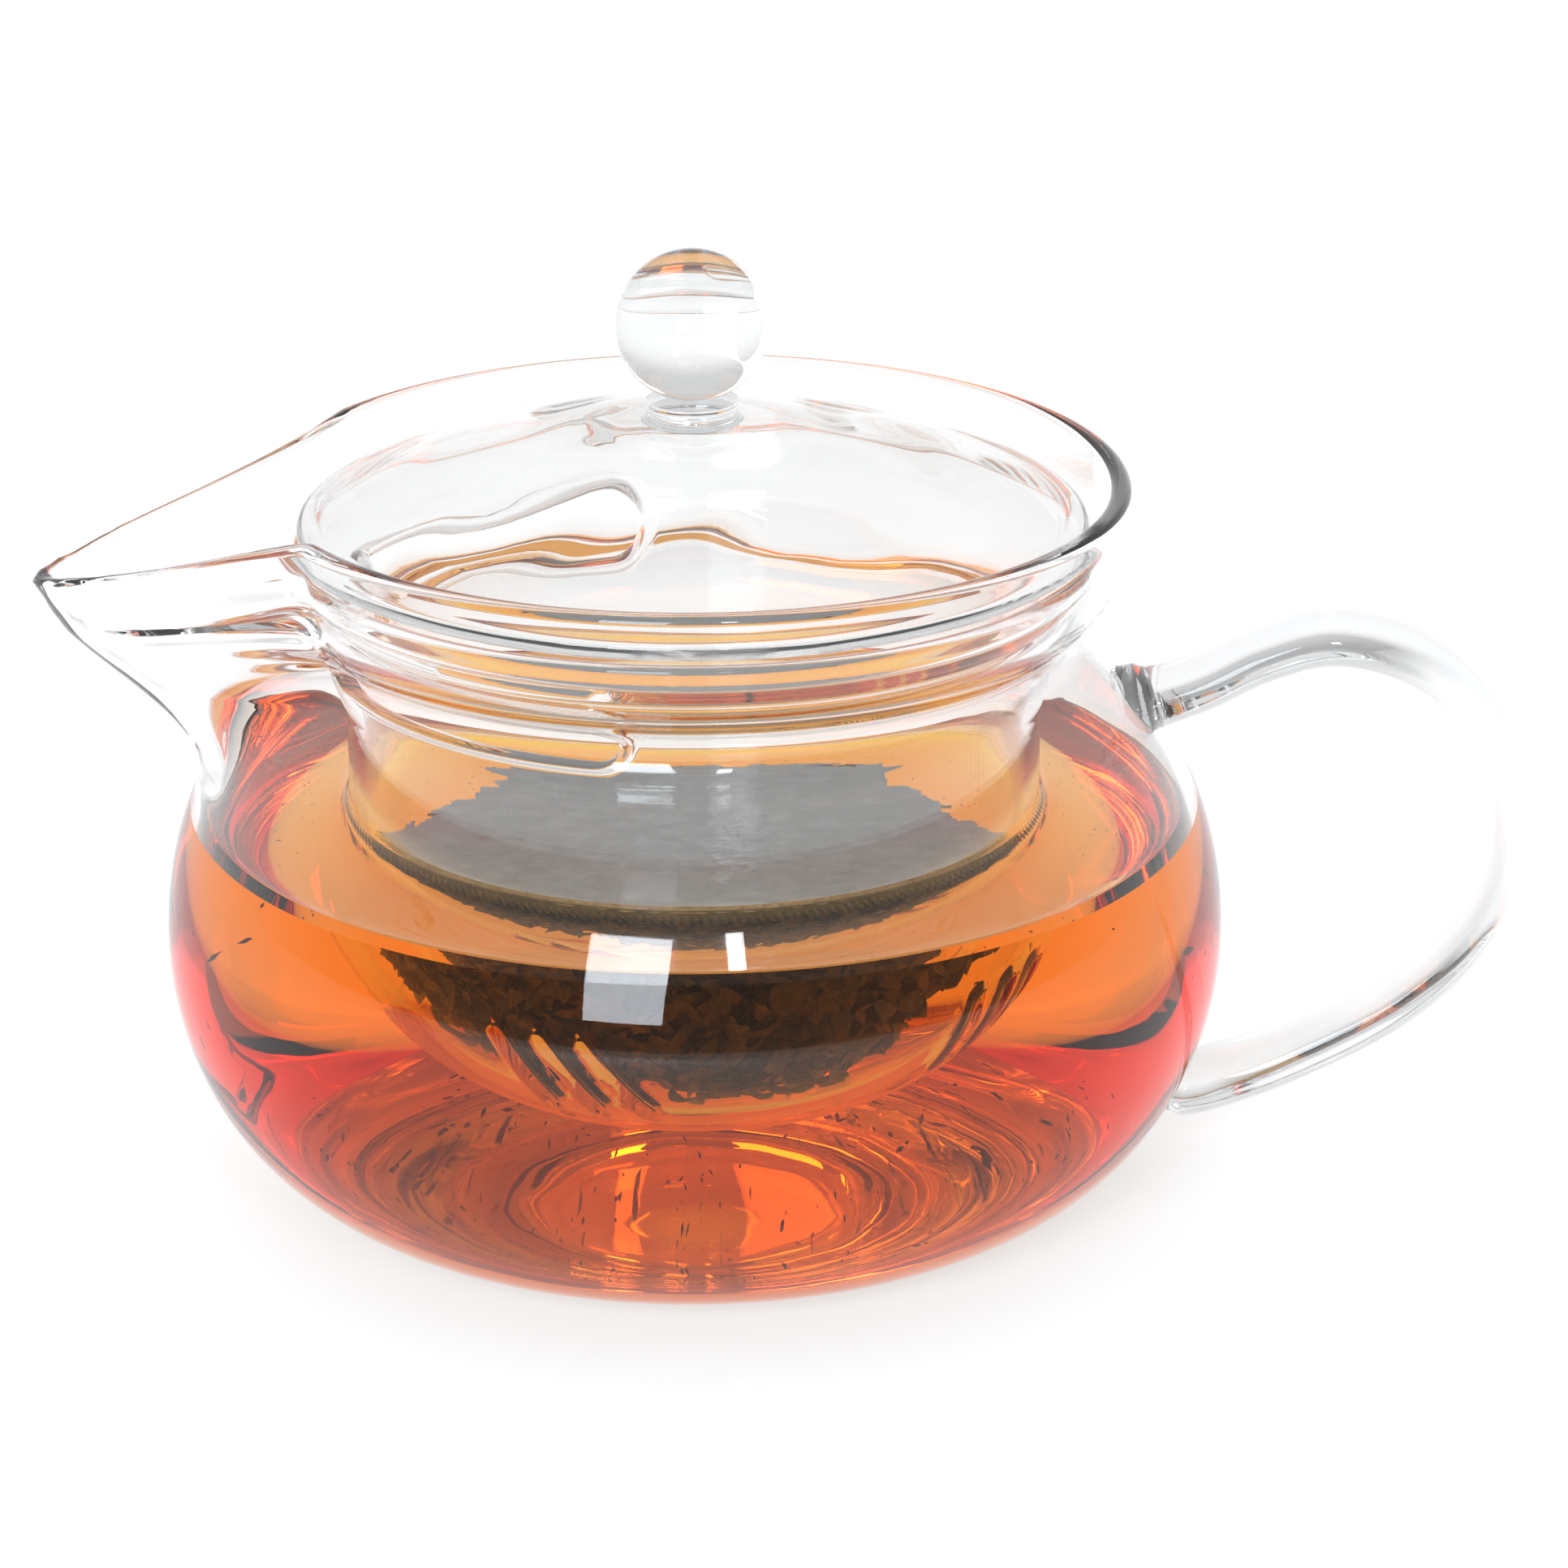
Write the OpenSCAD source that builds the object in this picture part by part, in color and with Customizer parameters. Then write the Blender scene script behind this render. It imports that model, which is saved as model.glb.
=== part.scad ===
// Glass teapot with a lift-out glass infuser and a loose domed lid.
// Z is up, and the pot rests on z = 0 with its axis on Z.
// The spout points to -X and the handle to +X. Sizes are in millimetres.

/* [Pot] */
// Widest outside diameter of the belly
belly_d = 120; // [112:1:126]
// Height of the belly's widest level
belly_z = 30; // [28:0.5:32]
// Diameter of the flat face that the pot rests on
base_d = 72; // [60:1:80]
// Radius of the arc between the widest level and the neck
shoulder_r = 40; // [38:0.5:42]
// Outside diameter of the neck
neck_d = 85.2; // [84:0.2:87]
// Height of the neck
neck_z = 64.8; // [63:0.2:66]
// Outside diameter of the collar that holds the infuser and lid
collar_d = 96.6; // [95:0.2:98]
// Height at which the collar's bowl turns upright
collar_z = 76; // [75:0.5:78]
// Height of the collar's rim
rim_z = 82.5; // [81:0.5:85]
// Thickness of the blown glass
wall = 1.9; // [1.6:0.1:2.2]

/* [Spout] */
// Reach of the spout's tip from the pot's axis
spout_reach = 73.6; // [68:0.2:80]
// Height of the spout's tip
tip_z = 71; // [68:0.5:74]
// Angle on each side of the spout at which the rim starts to leave its circle
spout_angle = 33; // [28:1:38]

/* [Handle] */
// Width of the glass strap, across the hand
strap_w = 10.4; // [9:0.2:12]
// Thickness of the strap at its top
strap_t = 5.7; // [5:0.1:6.5]
// Thickness of the strap at its lower end
strap_end_t = 6.6; // [5.5:0.1:7.5]

/* [Infuser] */
// Outside diameter of the infuser's straight wall
cup_d = 77.7; // [76:0.1:78]
// Outside diameter of the infuser's flared rim
cup_rim_d = 89.2; // [88:0.1:90]
// Height of the infuser's rim
cup_top = 75.6; // [74.5:0.1:76]
// Lowest point of the infuser's bowl
cup_bottom = 14.5; // [12:0.5:18]
// Width of each strainer slit
slit_w = 1.4; // [1:0.1:2]
// Number of slits in each group
slits = 3; // [2:1:4]
// Number of groups round the bowl
slit_groups = 4; // [3:1:6]
// Height of the two pouring slots
slot_h = 5.8; // [4:0.1:7]

/* [Lid] */
// Diameter of the lid
lid_d = 88.2; // [86:0.2:89]
// Rise of the lid's dome from its edge
dome_rise = 12; // [9:0.5:14]
// Diameter of the ball knob
ball_d = 17; // [14:0.5:20]
// Overall height to the top of the knob
overall_h = 108.2; // [104:0.1:112]

/* [Hidden] */
$fn = 128;
glass = [0.86, 0.93, 0.95, 0.45];

belly_r = belly_d / 2;
base_r = base_d / 2;
neck_r = neck_d / 2;
collar_r = collar_d / 2;
floor_t = 2.4; // thickness of the pot's bottom
joint_z = 48; // level where the turned belly meets the drawn collar
joint_lap = 1.4; // how far the collar runs down inside the belly's wall
joint_rise = 2.2; // how far above the joint the collar takes its full thickness
joint_inset = 0.15; // how far the lapped faces stand inside the belly's faces

// Tangent arcs: shoulder, neck and collar follow one another without a corner
shoulder_c = [belly_r - shoulder_r, belly_z];
neck_dx = neck_r - shoulder_c[0];
neck_dz = neck_z - belly_z;
neck_arc = (pow(neck_dx, 2) + pow(neck_dz, 2) - pow(shoulder_r, 2)) / (2 * (shoulder_r - neck_dx));
neck_c = [neck_r + neck_arc, neck_z];
collar_dx = collar_r - neck_c[0];
collar_dz = collar_z - neck_z;
collar_arc = (pow(collar_dx, 2) + pow(collar_dz, 2) - pow(neck_arc, 2)) / (2 * (collar_dx + neck_arc));
collar_c = [collar_r - collar_arc, collar_z];
neck_low = atan2(neck_c[1] - shoulder_c[1], neck_c[0] - shoulder_c[0]);
neck_high = atan2(collar_c[1] - neck_c[1], collar_c[0] - neck_c[0]);
neck_start = 168; // angle of the first point taken on the neck's arc
collar_start = neck_high - 165; // angle of the first point taken on the collar's arc
upright = 3; // height of the collar's straight band under the rim

// Points of an arc, from angle a0 to angle a1 in steps
function arc(c, r, a0, a1, steps) =
    [for (i = [0:steps]) let (a = a0 + (a1 - a0) * i / steps) c + r * [cos(a), sin(a)]];
function flip(list) = [for (i = [len(list) - 1:-1:0]) list[i]];
function mix(a, b, t) = a + (b - a) * t;

// ---- Pot body ----

// Angle at which the shoulder's arc, moved in by d, reaches the height z
function shoulder_at(z, d) = asin((z - belly_z) / (shoulder_r - d));

// Side of the belly, moved in by d: a quarter ellipse, then the shoulder's arc up to joint_z
function belly_side(d) = concat(
    [for (a = [-90:7.5:-1])
        [base_r - d / 2 + (belly_r - base_r - d / 2) * cos(a),
         belly_z + (belly_z - d * floor_t / wall) * sin(a)]],
    arc(shoulder_c, shoulder_r - d, 0, shoulder_at(joint_z, d), 7));

// Side of the collar, moved in by d: the rest of the shoulder, the neck, then the collar's bowl
function collar_side(d) = concat(
    arc(shoulder_c, shoulder_r - d, shoulder_at(joint_z + joint_rise + 1, d), neck_low, 4),
    arc(neck_c, neck_arc + d, neck_start, neck_high, 2),
    arc(collar_c, collar_arc - d, collar_start, 0, 4),
    [[collar_r - d, rim_z - upright]]);

function belly_at(z, d) = shoulder_c[0] + sqrt(pow(shoulder_r - d, 2) - pow(z - belly_z, 2));
function lap(d) =
    let (s = d < wall / 2 ? joint_inset : -joint_inset)
    [for (z = [joint_z - joint_lap, joint_z + joint_rise]) [belly_at(z, d) - s, z]];

lip_r = wall / 2 + 0.25; // the rim is fire-polished a little thicker than the wall
lip = arc([collar_r - wall / 2 + 0.2, rim_z - lip_r], lip_r, 0, 180, 4);
collar_loop = concat(lap(0), collar_side(0), lip, flip(collar_side(wall)), flip(lap(wall)));
outer_count = len(lap(0)) + len(collar_side(0)) + 2; // points on the outside, up to the lip's crest

// How far a point at height z has climbed from the joint to the rim, from 0 to 1
function climb(z) = max(0, (z - joint_z) / (rim_z - joint_z));
// The keel is the spout's profile in the plane of symmetry
function keel(p, inner) =
    let (u = climb(p[1]), back = inner ? wall * 1.1 : 0, s = u * u * (3 - 2 * u),
         roll = p[1] > rim_z - 2 ? p[0] - collar_r + (inner ? wall : 0) : 0)
    [mix(belly_at(joint_z, back), spout_reach - back, s) + roll,
     mix(joint_z, tip_z, u) + (inner ? 0.7 * sin(180 * u) : 0)];
// Weight of the keel at an angle from the spout's plane: 1 on the plane, 0 at spout_angle
function pull(angle, edge, power) = angle >= edge ? 0 : pow(1 - angle / edge, power);
function drawn(p, angle, inner) =
    let (u = climb(p[1]), k = keel(p, inner), edge = spout_angle - (inner ? 2 : 0))
    u <= 0 ? p : [mix(p[0], k[0], pull(angle, edge, mix(3, 2, u))),
                  mix(p[1], k[1], pull(angle, edge, mix(2.2, 1.4, u)))];

// Angles from the spout's plane: fine over the spout, coarse round the rest
spout_steps = [for (a = [-36:3:36]) a];
rest_steps = [for (a = [42:6:318]) a];
turns = concat(spout_steps, rest_steps);

// Skin through rings of points, each with the same number of points: a closed loop, or with two ends
module skin(rings, closed) {
    n = len(rings[0]);
    m = len(rings);
    spans = closed ? m : m - 1;
    sides = [for (i = [0:spans - 1], j = [0:n - 1])
        let (here = i * n, next = ((i + 1) % m) * n, k = (j + 1) % n)
        each [[here + j, here + k, next + k], [here + j, next + k, next + j]]];
    ends = closed ? [] : [[for (j = [n - 1:-1:0]) j], [for (j = [0:n - 1]) (m - 1) * n + j]];
    polyhedron(points = [for (ring = rings) each ring], faces = concat(sides, ends), convexity = 10);
}

module belly() {
    rotate_extrude()
        polygon(concat(
            [[0, 0]],
            belly_side(0),
            flip(belly_side(wall)),
            [[0, floor_t]]));
}

module collar_and_spout() {
    skin([for (t = turns)
        let (away = t > 180 ? 360 - t : abs(t))
        [for (i = [0:len(collar_loop) - 1])
            let (p = drawn(collar_loop[i], away, i > outer_count))
            [-p[0] * cos(t), -p[0] * sin(t), p[1]]]], true);
}

module pot_body() {
    color(glass)
    union() {
        belly();
        collar_and_spout();
    }
}

// ---- Handle ----

// Middle line of the strap in the plane y = 0, from the upper weld round to the lower weld
strap_path = [
    [48, 55.4], [52, 56.3], [57.5, 58.3], [64, 61.5], [71.5, 63.4], [79.5, 61.8], [86, 57.6],
    [90.8, 50.5], [93, 42.4], [92, 34.2], [87.4, 26.4], [79.5, 19.3], [69.7, 13.8], [61.5, 10.4],
    [54, 8.8], [46, 8.3]];
strap_steps = 4; // rings between two points of the path
strap_last = (len(strap_path) - 1) * strap_steps;

// Catmull-Rom curve through the path, at ring i
function path_point(i) = strap_path[max(0, min(len(strap_path) - 1, i))];
function strap_at(i) =
    let (k = min(floor(i / strap_steps), len(strap_path) - 2), t = i / strap_steps - k,
         a = path_point(k - 1), b = path_point(k), c = path_point(k + 1), d = path_point(k + 2))
    0.5 * (2 * b + (c - a) * t + (2 * a - 5 * b + 4 * c - d) * t * t + (3 * b - a - 3 * c + d) * t * t * t);
function strap_slope(i) = let (v = strap_at(min(i + 1, strap_last)) - strap_at(max(i - 1, 0))) v / norm(v);

// Sine or cosine for a section a little squarer than an ellipse
function squared(x) = sign(x) * pow(abs(x), 0.8);
// The strap narrows to a waist beside each weld and spreads on the weld itself
function swell(i) = let (e = min(i, strap_last - i) / strap_steps)
    e < 1 ? mix(1.22, 0.94, e) : e < 3 ? mix(0.94, 1, (e - 1) / 2) : 1;
function strap_ring(i) =
    let (c = strap_at(i), v = strap_slope(i), grow = swell(i), w = strap_w / 2 * grow,
         t = mix(strap_t, strap_end_t, max(0, i / strap_last * 2 - 1)) / 2 * grow)
    [for (a = [342:-18:0])
        let (s = t * squared(sin(a)))
        [c[0] - v[1] * s, w * squared(cos(a)), c[1] + v[0] * s]];

// The space inside the middle of the belly's wall, where the welded strap stops
core_low = 1;
core_high = 62;
core_arc = [28, 50]; // angles of the shoulder's arc from joint_z up to core_high
module belly_core() {
    rotate_extrude()
        polygon(concat(
            [[0, core_low]],
            belly_side(wall / 2),
            arc(shoulder_c, shoulder_r - wall / 2, core_arc[0], core_arc[1], 4),
            [[0, core_high]]));
}

module handle() {
    color(glass)
    difference() {
        skin([for (i = [0:strap_last]) strap_ring(i)], false);
        belly_core();
    }
}

// ---- Infuser ----

cup_r = cup_d / 2;
cup_rim_r = cup_rim_d / 2;
cup_wall = 1.8;
bowl_top = 42; // level where the straight wall turns into the bowl
flare_low = 64.2; // level where the straight wall turns out into the flare
flare_r = 4.2; // radius of the flare's hollow arc
flare_c = [cup_r + flare_r, flare_low];
flare_angle = 118; // where the hollow arc ends, measured at its centre
seat_r = 3.4; // radius of the arc that turns the flare upright
seat_c = [cup_rim_r - seat_r, 73.4];
seat_start = flare_angle - 170; // angle of the first point taken on that arc
slot_z = 65; // middle height of the pouring slots
slot_turn = 133; // angle of each slot's middle from the handle
slot_half = 28; // half of the angle between the centres of a slot's round ends
slot_end = slot_h - 0.5; // diameter of the slot's round ends, clear of its flat faces
slot_cut = [cup_r - 5, 12]; // where the slot's cut starts, and how far out it runs
slit_low = 18.8;
slit_high = 29;
slit_gap = 4.6; // distance between neighbouring slits
slit_lean = 22; // the slits lean from the upright by this angle
slit_cut = [14, 40]; // where a slit's cut starts, and how far out it runs
first_group = -113.5; // angle of the first group from the handle

// Radius of the bowl at height z: r where it leaves the straight wall, 0 at the bottom
function bowl_r(z, r, bottom) =
    r * pow(max(0, 1 - pow((bowl_top - z) / (bowl_top - bottom), 1.25)), 1 / 3.4);
function bowl_side(d) =
    let (bottom = cup_bottom + d)
    [for (i = [1:14])
        let (z = bottom + (bowl_top - bottom) * pow(i / 14, 2))
        [bowl_r(z, cup_r - d, bottom), z]];

// Side of the cup moved in by d, from the bottom to the flared rim
function cup_side(d) = concat(
    [[0, cup_bottom + d]],
    bowl_side(d),
    arc(flare_c, flare_r + d, 180, flare_angle, 4),
    arc(seat_c, seat_r - d, seat_start, 0, 3));

module slit_group() {
    for (k = [0:slits - 1])
        translate([slit_cut[0], (k - (slits - 1) / 2) * slit_gap, (slit_low + slit_high) / 2])
        rotate([slit_lean, 0, 0])
        translate([0, -slit_w / 2, -(slit_high - slit_low) / 2])
        cube([slit_cut[1], slit_w, slit_high - slit_low]);
}

module pouring_slot() {
    rotate([0, 0, slot_turn - slot_half])
    translate([0, 0, slot_z - slot_h / 2])
    rotate_extrude(angle = 2 * slot_half)
    translate([slot_cut[0], 0])
    square([slot_cut[1], slot_h]);
    for (side = [-1, 1])
        rotate([0, 0, slot_turn + side * slot_half])
        translate([slot_cut[0], 0, slot_z])
        rotate([0, 90, 0])
        rotate([0, 0, -side * 90])
        cylinder(d = slot_end, h = slot_cut[1], $fn = 48);
}

module infuser() {
    rim = arc([cup_rim_r - cup_wall / 2, cup_top - cup_wall / 2], cup_wall / 2, 0, 180, 6);
    color(glass)
    difference() {
        rotate_extrude()
            polygon(concat(cup_side(0), rim, flip(cup_side(cup_wall))));
        for (g = [0:slit_groups - 1])
            rotate([0, 0, first_group + g * 360 / slit_groups])
            slit_group();
        pouring_slot();
        mirror([0, 1, 0])
        pouring_slot();
    }
}

// ---- Lid and knob ----

lid_r = lid_d / 2;
lid_wall = 1.9;
lid_edge_r = 1.2; // radius of the lid's round edge
seat_gap = 0.3; // between the infuser's rim and the lid's edge
lid_edge_z = cup_top + seat_gap + lid_edge_r;
dome_r = (lid_r * lid_r + dome_rise * dome_rise) / (2 * dome_rise);
dome_c = [0, lid_edge_z + dome_rise - dome_r];
dome_edge = acos((lid_r - lid_edge_r) / dome_r);
ball_r = ball_d / 2;
ball_z = overall_h - ball_r;
stem_r = 5.2;
stem_low = dome_c[1] + dome_r - 0.7; // the stem's foot, fused into the dome
stem_top = ball_z - ball_r + 1.8; // the stem's top, fused into the ball

module lid() {
    color(glass)
    rotate_extrude()
        polygon(concat(
            arc(dome_c, dome_r - lid_wall, 90, dome_edge + 1, 12),
            arc([lid_r - lid_edge_r, lid_edge_z], lid_edge_r, -110, 40, 7),
            arc(dome_c, dome_r, dome_edge + 0.6, 90, 12)));
}

module lid_knob() {
    color(glass)
    union() {
        translate([0, 0, ball_z])
        sphere(r = ball_r);
        translate([0, 0, stem_low])
        cylinder(r = stem_r, h = stem_top - stem_low);
    }
}

pot_body();
handle();
infuser();
lid();
lid_knob();
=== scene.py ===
"""Glass teapot with a lift-out infuser, a domed lid, tea and leaves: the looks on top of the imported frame.

The glass is rebuilt as smooth shells from the same curves as the CAD, inside the CAD box. Lengths in this
file are millimetres until build() scales a mesh to the frame's metres. +X is the handle, -X the spout.
"""

import math
import random

import bmesh
import bpy
import numpy as np
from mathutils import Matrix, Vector, noise
from mathutils.geometry import delaunay_2d_cdt


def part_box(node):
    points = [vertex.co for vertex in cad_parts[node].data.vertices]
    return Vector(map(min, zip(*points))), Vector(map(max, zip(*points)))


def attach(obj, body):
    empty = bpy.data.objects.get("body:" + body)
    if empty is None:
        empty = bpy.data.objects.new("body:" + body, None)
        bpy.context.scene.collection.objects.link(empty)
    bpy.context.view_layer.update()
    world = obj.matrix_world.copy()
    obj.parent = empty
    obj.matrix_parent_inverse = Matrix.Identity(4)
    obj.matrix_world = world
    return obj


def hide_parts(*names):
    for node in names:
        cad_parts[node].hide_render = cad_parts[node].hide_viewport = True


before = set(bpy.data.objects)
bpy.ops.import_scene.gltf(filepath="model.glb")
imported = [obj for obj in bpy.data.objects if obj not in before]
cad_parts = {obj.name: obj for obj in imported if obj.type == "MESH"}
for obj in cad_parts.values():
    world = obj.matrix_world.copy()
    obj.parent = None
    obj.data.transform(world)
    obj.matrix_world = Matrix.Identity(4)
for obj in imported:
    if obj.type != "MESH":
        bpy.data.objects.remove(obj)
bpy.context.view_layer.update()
MM = 0.001


def box_mm(node):
    return [np.array(corner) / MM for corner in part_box(node)]


# ---- Sizes, from the frame where it gives them ----
POT_LOW, POT_HIGH = box_mm("pot_body")
CUP_LOW, CUP_HIGH = box_mm("infuser")
LID_HIGH = box_mm("lid")[1]
KNOB_HIGH = box_mm("lid_knob")[1]

BELLY_R, RIM_Z, SPOUT_REACH = POT_HIGH[1], POT_HIGH[2], -POT_LOW[0]
BELLY_Z, BASE_R, SHOULDER_R = 30.0, 36.0, 40.0
NECK_R, NECK_Z, COLLAR_R, COLLAR_Z = 42.6, 64.8, 48.3, 76.0
WALL, FLOOR_T, UPRIGHT = 1.9, 2.4, 3.0
JOINT_Z, TIP_Z, SPOUT_ANGLE = 48.0, 71.0, 33.0
LIP_R = WALL / 2 + 0.25
# folds in the spout's wall: place up the wall and height
SPOUT_CREASES = ((0.86, 0.8), (0.70, 1.2), (0.55, 0.3))
CREASE_WIDTH = 0.035

CUP_R, CUP_RIM_R, CUP_WALL = 38.85, CUP_HIGH[1], 1.8
CUP_TOP, CUP_BOTTOM, BOWL_TOP = CUP_HIGH[2], CUP_LOW[2], 42.0
FLARE_R, FLARE_Z, FLARE_ANGLE, SEAT_R, SEAT_Z = 4.2, 64.2, 118.0, 3.4, 73.4
SLOT_Z, SLOT_H, SLOT_TURN, SLOT_HALF = 65.0, 5.8, 133.0, 28.0
SLIT_W, SLIT_LOW, SLIT_HIGH, SLIT_GAP, SLIT_LEAN = 1.4, 18.8, 29.0, 4.6, 22.0
SLOT_BEAD = 0.75  # how much the fire-polished edge of a pouring slot thickens
SLIT_GROUPS, SLITS, FIRST_GROUP = 4, 3, -113.5

LID_R, LID_WALL, LID_EDGE_R, DOME_RISE = LID_HIGH[1], 1.9, 1.2, 12.0
LID_EDGE_Z = CUP_TOP + 0.3 + LID_EDGE_R
BALL_R = KNOB_HIGH[1]
BALL_Z = KNOB_HIGH[2] - BALL_R
STEM_R = 5.2

TEA_Z = 44.1
GAP = 0.03  # between liquid and glass, and between the liquid and its surface film
RIDGE = 1.7  # how high the liquid climbs a wall
CLIMB = 1.5  # how quickly that climb dies away from the wall

GLASS_IOR, WATER_IOR = 1.47, 1.333
CUP_WET_IOR = 1.14  # a little over glass against tea, so that the bowl's outline shows


# ---- Curves ----
def arc(centre, radius, a0, a1, steps):
    return [(centre[0] + radius * math.cos(math.radians(a0 + (a1 - a0) * i / steps)),
             centre[1] + radius * math.sin(math.radians(a0 + (a1 - a0) * i / steps)))
            for i in range(steps + 1)]


def mix(a, b, t):
    return a + (b - a) * t


def smooth(t):
    t = min(1.0, max(0.0, t))
    return t * t * (3 - 2 * t)


SHOULDER_C = (BELLY_R - SHOULDER_R, BELLY_Z)
NECK_DX, NECK_DZ = NECK_R - SHOULDER_C[0], NECK_Z - BELLY_Z
NECK_ARC = (NECK_DX**2 + NECK_DZ**2 - SHOULDER_R**2) / (2 * (SHOULDER_R - NECK_DX))
NECK_C = (NECK_R + NECK_ARC, NECK_Z)
COLLAR_DX, COLLAR_DZ = COLLAR_R - NECK_C[0], COLLAR_Z - NECK_Z
COLLAR_ARC = (COLLAR_DX**2 + COLLAR_DZ**2 - NECK_ARC**2) / (2 * (COLLAR_DX + NECK_ARC))
COLLAR_C = (COLLAR_R - COLLAR_ARC, COLLAR_Z)
NECK_LOW = math.degrees(math.atan2(NECK_C[1] - SHOULDER_C[1], NECK_C[0] - SHOULDER_C[0]))
NECK_HIGH = math.degrees(math.atan2(COLLAR_C[1] - NECK_C[1], COLLAR_C[0] - NECK_C[0]))


def shoulder_angle(z, d):
    return math.degrees(math.asin((z - BELLY_Z) / (SHOULDER_R - d)))


def belly_curve(d):
    """The belly's side from the foot to its widest level, moved in by d."""
    return [(BASE_R - d / 2 + (BELLY_R - BASE_R - d / 2) * math.cos(a),
             BELLY_Z + (BELLY_Z - d * FLOOR_T / WALL) * math.sin(a))
            for a in np.linspace(-math.pi / 2, 0, 27)]


def pot_side(d):
    """The pot's side from the foot up to the straight band under the rim, moved in by d."""
    wet = shoulder_angle(TEA_Z, d)
    return (belly_curve(d)
            + arc(SHOULDER_C, SHOULDER_R - d, 0, wet, 8)[1:]
            + arc(SHOULDER_C, SHOULDER_R - d, wet, NECK_LOW, 17)[1:]
            + arc(NECK_C, NECK_ARC + d, NECK_LOW + 180, NECK_HIGH, 9)[1:]
            + arc(COLLAR_C, COLLAR_ARC - d, NECK_HIGH - 180, 0, 12)[1:]
            + [(COLLAR_R - d, COLLAR_Z + k * (RIM_Z - UPRIGHT - COLLAR_Z) / 3) for k in (1, 2, 3)])


def wall_r(z, d):
    """Radius of the shoulder moved in by d, at a height between the widest level and the neck."""
    return SHOULDER_C[0] + math.sqrt((SHOULDER_R - d)**2 - (z - BELLY_Z)**2)


def belly_r(z, d=0.0):
    """Radius of the belly's or shoulder's outside moved in by d, at any height below the neck."""
    if z > BELLY_Z:
        return wall_r(z, d)
    return BASE_R + (BELLY_R - BASE_R) * math.sqrt(max(0.0, 1 - ((BELLY_Z - z) / BELLY_Z)**2)) - d


def drawn(r, z, away, side):
    """The spout: where a point of the round collar goes at an angle away from the spout's plane.
    side is 0 on the outside, 1 on the inside and between them over the lip."""
    u = max(0.0, (z - JOINT_Z) / (RIM_Z - JOINT_Z))
    edge = SPOUT_ANGLE - 2 * side
    if u == 0 or away >= edge:
        return r, z
    back = WALL * 1.1 * side
    roll = smooth((z - RIM_Z + 2.6) / 0.6) * (r - COLLAR_R + WALL * side)
    keel_r = mix(belly_r(JOINT_Z, back), SPOUT_REACH - back, smooth(u)) + roll
    keel_z = mix(JOINT_Z, TIP_Z, u) + 0.7 * side * math.sin(math.pi * u)
    blunt = 4.0  # degrees over which the keel is rounded
    t = 1 - (math.hypot(away, blunt) - blunt) / (math.hypot(edge, blunt) - blunt)
    folds = sum(h * math.exp(-((u - at) / CREASE_WIDTH)**2) for at, h in SPOUT_CREASES)
    crease = side * smooth(t * 3) * smooth((1 - t) * 7) * folds
    return mix(r, keel_r, t**mix(3, 2, u)) - crease, mix(z, keel_z, t**mix(2.2, 1.4, u))


def wave(x, y, z, pitch, seed):
    return noise.noise(Vector((x / pitch, y / pitch, z / pitch + seed)))


# ---- Mesh building ----
def build(name, verts, faces, materials, face_materials=None, sharp=None):
    """An object from millimetre points, with its normals outwards."""
    mesh = bpy.data.meshes.new(name)
    mesh.from_pydata([tuple(float(c) * MM for c in v) for v in verts], [], faces)
    for material in materials:
        mesh.materials.append(material)
    if face_materials is not None:
        mesh.polygons.foreach_set("material_index", face_materials)
    bm = bmesh.new()
    bm.from_mesh(mesh)
    bmesh.ops.recalc_face_normals(bm, faces=bm.faces)
    bm.to_mesh(mesh)
    bm.free()
    mesh.shade_smooth()
    if sharp is not None:
        mesh.set_sharp_from_angle(angle=math.radians(sharp))
    obj = bpy.data.objects.new(name, mesh)
    bpy.context.scene.collection.objects.link(obj)
    return obj


def lathe(profile, angles, place):
    """Points and faces of a profile turned about Z. The profile's ends lie on the axis.
    place(k, r, z, angle) gives the point for profile point k."""
    verts, rings = [], []
    for k, (r, z) in enumerate(profile):
        if r < 1e-6:
            rings.append([len(verts)])
            verts.append(place(k, 0.0, z, 0.0))
        else:
            rings.append(list(range(len(verts), len(verts) + len(angles))))
            verts += [place(k, r, z, a) for a in angles]
    return verts, bridge(rings)


def bridge(rings, closed=False):
    """Faces between rings of point indices; a ring of one point is a pole."""
    faces = []
    pairs = list(zip(rings, rings[1:])) + ([(rings[-1], rings[0])] if closed else [])
    for low, high in pairs:
        n = max(len(low), len(high))
        for j in range(n):
            k = (j + 1) % n
            if len(low) == 1:
                faces.append((low[0], high[k], high[j]))
            elif len(high) == 1:
                faces.append((low[j], low[k], high[0]))
            else:
                faces.append((low[j], low[k], high[k], high[j]))
    return faces


def turn(r, angle, z):
    return (r * math.cos(math.radians(angle)), r * math.sin(math.radians(angle)), z)


def even_angles(count):
    return [360.0 * i / count for i in range(count)]


# ---- Materials ----
def material(name):
    """A new node material: returns the material, its Principled node and a maker of further nodes."""
    m = bpy.data.materials.new(name)
    m.use_nodes = True
    tree = m.node_tree
    tree.nodes.clear()
    out = tree.nodes.new("ShaderNodeOutputMaterial")
    shader = tree.nodes.new("ShaderNodeBsdfPrincipled")
    tree.links.new(shader.outputs["BSDF"], out.inputs["Surface"])

    def node(kind, inputs=None, **settings):
        n = tree.nodes.new("ShaderNode" + kind)
        for key, value in settings.items():
            setattr(n, key, value)
        for key, value in (inputs or {}).items():
            if isinstance(value, bpy.types.NodeSocket):
                tree.links.new(value, n.inputs[key])
            else:
                n.inputs[key].default_value = value
        return n

    node.tree, node.out = tree, out
    return m, shader, node


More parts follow.
